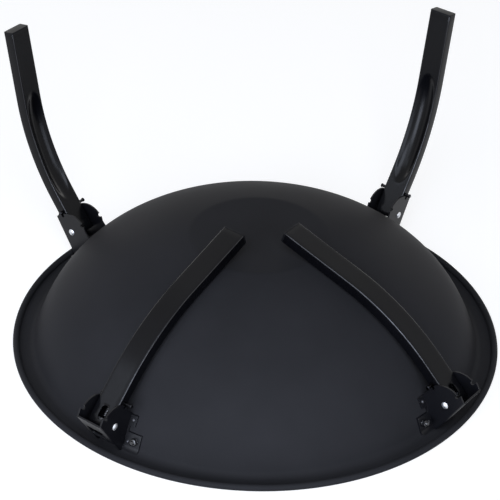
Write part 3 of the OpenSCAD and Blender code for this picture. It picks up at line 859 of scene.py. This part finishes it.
def leg_part():
    """Rolled rectangular tube with its slots, in the leg's own frame."""
    end = LEG_END - CAP_FLANGE
    stations = spread(-LEG_BACK, PRESS_START, 8) + spread(PRESS_START, PRESS_END, 64)
    stations += spread(PRESS_END, end, 10) + [end]
    outer = [tube_ring(s, 0) for s in stations]
    inner = [tube_ring(s, LEG_T) for s in stations]
    made = rings_mesh("leg_part", outer + list(reversed(inner)) + [outer[0]], False, False)
    made.data.materials.append(None)
    made.data.materials.append(None)
    # Corner facets are marked for the painted edge highlight.
    for k in corner_facets():
        for r in range(len(stations) - 1):
            made.data.polygons[r * len(outer[0]) + k].material_index = 1
    outward(made)
    half = SPOT_SLOT_W / 2
    spot_floor = LEG_SHIFT - 2
    hair = 0.001
    cutters = [
        slot_cutter("spot_slot", half, SPOT_SLOT_LEN - half, half, LEG_SHIFT - LEG_D, spot_floor, "Y"),
        slot_cutter("pin_slot", LOCK_ENGAGED, LOCK_FREE, NOTCH_R, -LEG_W, LEG_W, "Z"),
        slot_cutter("rivet_hole", 0, hair, RIVET_R + RIVET_FIT, -LEG_W, LEG_W, "Z"),
    ]
    cut_by(made, cutters)
    eased(made, width=0.2, sharpest=50)
    made = painted_highlight_mask(baked(made, "leg_part"))
    drop_objects(cutters)
    return smooth(made, sharp=32)


def cap_part():
    """Moulded end cap: a flange over the tube's end with an eased edge, and a hollow plug inside it."""
    _, along, hollow = leg_station(LEG_END)
    foot = leg_station(LEG_END - CAP_FLANGE)[0]
    gap = LEG_T + CAP_FIT
    steps = [(-1, gap + CAP_WALL), (1 - CAP_PLUG, gap + CAP_WALL),
             (-CAP_PLUG, gap + CAP_LIP), (-CAP_PLUG, gap + CAP_CHAMFER),
             (CAP_LEAD - CAP_PLUG, gap), (0, gap), (0, 0)]
    steps += [(CAP_FLANGE - CAP_EASE + CAP_EASE * math.sin(a), CAP_EASE * (1 - math.cos(a)))
              for a in spread(0, RIGHT_ANGLE, 5) + [RIGHT_ANGLE]]
    rings = []
    for h, inset in steps:
        w, d, r = LEG_W / 2 - inset, LEG_D / 2 - inset, LEG_CORNER_R - min(inset, LEG_T)
        ring = []
        for n, b in sum(round_corners(d, w, r, steps=6), []):
            p = foot + h * along + n * hollow
            ring.append((p.x, p.y, b))
        rings.append(ring)
    return smooth(outward(rings_mesh("cap_part", rings)), sharp=40)


def spring_path():
    """One wire: an eye round the rivet, a bend on to the coil, the coil, a bend and an eye round the pin."""
    ease_r, points = COIL_EASE_R, 28
    count = points * COIL_TURNS
    pitch = (SPRING_END - SPRING_START - 2 * ease_r) / COIL_TURNS
    lap = 2 * math.pi * COIL_R
    eases = [math.radians(a) for a in spread(0, COIL_EASE, 6) + [COIL_EASE]]

    def eye(x, r, first, last):
        turns = [first + (last - first) * i / (points - 1) for i in range(points)]
        return [Vector((x, 0, 0)) + r * Vector((*level_dir(turn), 0)) for turn in turns]

    def on_coil(x, w):
        """A point on the coil's cylinder, by its place along it and the length w round it."""
        return Vector((x, COIL_R * math.cos(w / COIL_R), COIL_R * math.sin(w / COIL_R)))

    near_end, far_end = 90 + EYE_END, 90 - EYE_END
    path = eye(0, RIVET_R + FREE_PLAY + WIRE_R, near_end + EYE_SWEEP, near_end)
    path += [on_coil(SPRING_START + ease_r * math.sin(a), ease_r * (1 - math.cos(a))) for a in eases]
    # The coil's first and last points are left to the bends.
    path += [on_coil(SPRING_START + ease_r + pitch * i / points,
                     lap * i / points + ease_r * (1 - i / count * 2))
             for i in range(3, count - 2)]
    path += [on_coil(SPRING_END - ease_r * math.sin(a), lap * COIL_TURNS - ease_r * (1 - math.cos(a)))
             for a in reversed(eases)]
    return path + eye(LOCK_FREE, LOCK_R + FREE_PLAY + WIRE_R, far_end, far_end - EYE_SWEEP)


def pin_part():
    """Lock pin with a flange head at each end, along Z."""
    head_r, under = LOCK_FLANGE_R, LOCK_HALF - LOCK_FLANGE_H
    upper = [(LOCK_R, under), (head_r - HEAD_EDGE, under), (head_r, under + HEAD_EDGE),
             (head_r, LOCK_HALF - LOCK_EASE), (head_r - LOCK_EASE, LOCK_HALF), (0, LOCK_HALF)]
    lower = [(r, -h) for r, h in reversed(upper)]
    return turned("pin_part", lower + upper, segments=40, finish=BLACK_STEEL)


def placed_copy(part, name, matrix):
    """A copy of a part with its place in its mesh, in metres."""
    made = add_object(name, part.data.copy())
    place = matrix.copy()
    place.translation = place.to_translation() * MM
    made.data.transform(place)
    made.data.update()
    return made


leg_shape, cap_shape, pin_shape = leg_part(), cap_part(), smooth(pin_part(), sharp=40)
for i, corner in enumerate(CORNERS):
    leg_body, pin_body = "leg_" + corner, "lock_pin_" + corner
    here = leg_matrix(i)
    tube = placed_copy(leg_shape, "leg_tube_" + corner, here)
    finish_piece(tube, leg_body, "leg_black", LEG_COAT, "leg_" + corner)
    cap = placed_copy(cap_shape, "end_cap_" + corner, here)
    finish_piece(cap, leg_body, "cap_black", CAP_PLASTIC, "foot_cap_" + corner)
    shifted = here @ Matrix.Translation((LOCK_FREE, 0, -PIN_SHIFT[i]))
    pin = placed_copy(pin_shape, "sprung_pin_" + corner, shifted)
    finish_piece(pin, pin_body, "dark_zinc", BLACK_STEEL, "lock_pin_" + corner)
    line = add_line("spring_line_" + corner, [here @ p for p in spring_path()])
    wire = {"Wire radius": WIRE_R * MM, "Sides": 10, "Finish": SPRING_STEEL}
    spring = smooth(WIRE.run(line, "pin_spring_" + corner, **wire), sharp=60)
    finish_piece(spring, None, "spring_wire", SPRING_STEEL, "lock_spring_" + corner)
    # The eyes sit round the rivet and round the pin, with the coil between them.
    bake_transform(spring)
drop_objects([leg_shape, cap_shape, pin_shape])


# ---- Stage: floor, background, lights, camera ----

def background_rays(tree):
    """1 for rays that see the background itself: camera, glossy and transmission rays."""
    path = tree.nodes.new("ShaderNodeLightPath")
    both = tree.nodes.new("ShaderNodeMath")
    both.operation = "MAXIMUM"
    every = tree.nodes.new("ShaderNodeMath")
    every.operation = "MAXIMUM"
    tree.links.new(path.outputs["Is Camera Ray"], both.inputs[0])
    tree.links.new(path.outputs["Is Glossy Ray"], both.inputs[1])
    tree.links.new(both.outputs[0], every.inputs[0])
    tree.links.new(path.outputs["Is Transmission Ray"], every.inputs[1])
    return every.outputs[0]


def make_floor(half, level, grey, seen_grey, seen_glow):
    """A plain pale floor that glows for the rays that see the background, but still takes the shadow."""
    corners = [(x * half, y * half, level) for x, y in ((-1, -1), (1, -1), (1, 1), (-1, 1))]
    floor = add_mesh("floor", corners, [(0, 1, 2, 3)])
    made = bpy.data.materials.new("floor_white")
    made.use_nodes = True
    tree = made.node_tree
    tree.nodes.clear()
    out = tree.nodes.new("ShaderNodeOutputMaterial")
    plain = tree.nodes.new("ShaderNodeBsdfDiffuse")
    plain.inputs["Color"].default_value = (grey, grey, grey, 1)
    shaded = tree.nodes.new("ShaderNodeBsdfDiffuse")
    shaded.inputs["Color"].default_value = (seen_grey, seen_grey, seen_grey, 1)
    glow = tree.nodes.new("ShaderNodeEmission")
    glow.inputs["Strength"].default_value = seen_glow
    seen = tree.nodes.new("ShaderNodeAddShader")
    mix = tree.nodes.new("ShaderNodeMixShader")
    tree.links.new(shaded.outputs[0], seen.inputs[0])
    tree.links.new(glow.outputs[0], seen.inputs[1])
    tree.links.new(background_rays(tree), mix.inputs["Fac"])
    tree.links.new(plain.outputs[0], mix.inputs[1])
    tree.links.new(seen.outputs[0], mix.inputs[2])
    tree.links.new(mix.outputs[0], out.inputs["Surface"])
    floor.data.materials.append(made)


def make_world(strength):
    """White for the rays that see the background, and a weak even light for all others."""
    world = bpy.data.worlds.new("studio_white")
    bpy.context.scene.world = world
    world.use_nodes = True
    tree = world.node_tree
    light = tree.nodes["Background"]
    level = tree.nodes.new("ShaderNodeMix")
    level.data_type = "FLOAT"
    level.inputs["A"].default_value = strength
    level.inputs["B"].default_value = 1.0
    tree.links.new(background_rays(tree), level.inputs["Factor"])
    tree.links.new(level.outputs["Result"], light.inputs["Strength"])
    light.inputs["Color"].default_value = (1, 1, 1, 1)


def soft_light(name, azimuth, elevation, size, power, colour):
    """A soft box, in metres and watts, aimed at the bowl from an azimuth, 0 in front, and an elevation."""
    aim, reach = Vector((0, 0, 0.08)), 2.8
    level, height = level_dir(elevation)
    side, front = math.sin(math.radians(azimuth)), math.cos(math.radians(azimuth))
    data = bpy.data.lights.new(name, "AREA")
    data.shape = "RECTANGLE"
    data.size, data.size_y = size
    data.energy = power
    data.color = colour
    lamp = bpy.data.objects.new(name, data)
    bpy.context.scene.collection.objects.link(lamp)
    lamp.location = aim + reach * Vector((level * side, -level * front, height))
    lamp.rotation_euler = (aim - lamp.location).to_track_quat("-Z", "Y").to_euler()
    lamp.visible_camera = False


def make_camera(lens, place, aim, roll):
    """The camera, from its place and aim in metres and its roll in degrees."""
    data = bpy.data.cameras.new("camera")
    data.sensor_width = 36
    data.lens = lens
    camera = bpy.data.objects.new("camera", data)
    bpy.context.scene.collection.objects.link(camera)
    look = (Vector(aim) - Vector(place)).to_track_quat("-Z", "Y")
    camera.location = place
    camera.rotation_euler = (look.to_matrix() @ Matrix.Rotation(math.radians(roll), 3, "Z")).to_euler()
    bpy.context.scene.camera = camera


make_floor(half=9000, level=-0.3, grey=0.7, seen_grey=0.35, seen_glow=0.80)
make_world(strength=0.05)
COOL, NEUTRAL = (0.76, 0.84, 1.0), (1.0, 0.98, 0.96)
soft_light("front_left_low", -35, 12, (1.4, 1.2), 54, COOL)
soft_light("front_right_low", 35, 12, (1.4, 1.2), 25, COOL)
soft_light("front_soft", 0, 35, (1.4, 1.2), 36, COOL)
soft_light("front_high", 0, 58, (1.4, 1.2), 21, COOL)
soft_light("front_left_high", -42, 38, (1.6, 1.2), 13, COOL)
soft_light("left_spot", -77, 38, (0.45, 0.40), 2.6, COOL)
soft_light("rear_left_soft", -142, 12, (1.4, 1.0), 8, NEUTRAL)
soft_light("rear_right_soft", 142, 12, (1.4, 1.0), 8, NEUTRAL)
make_camera(lens=146.71, place=(0, -2.0509, 1.4952), aim=(-0.0106, 0.1905, 0), roll=1.58)

view = bpy.context.scene.view_settings
view.view_transform = "Standard"
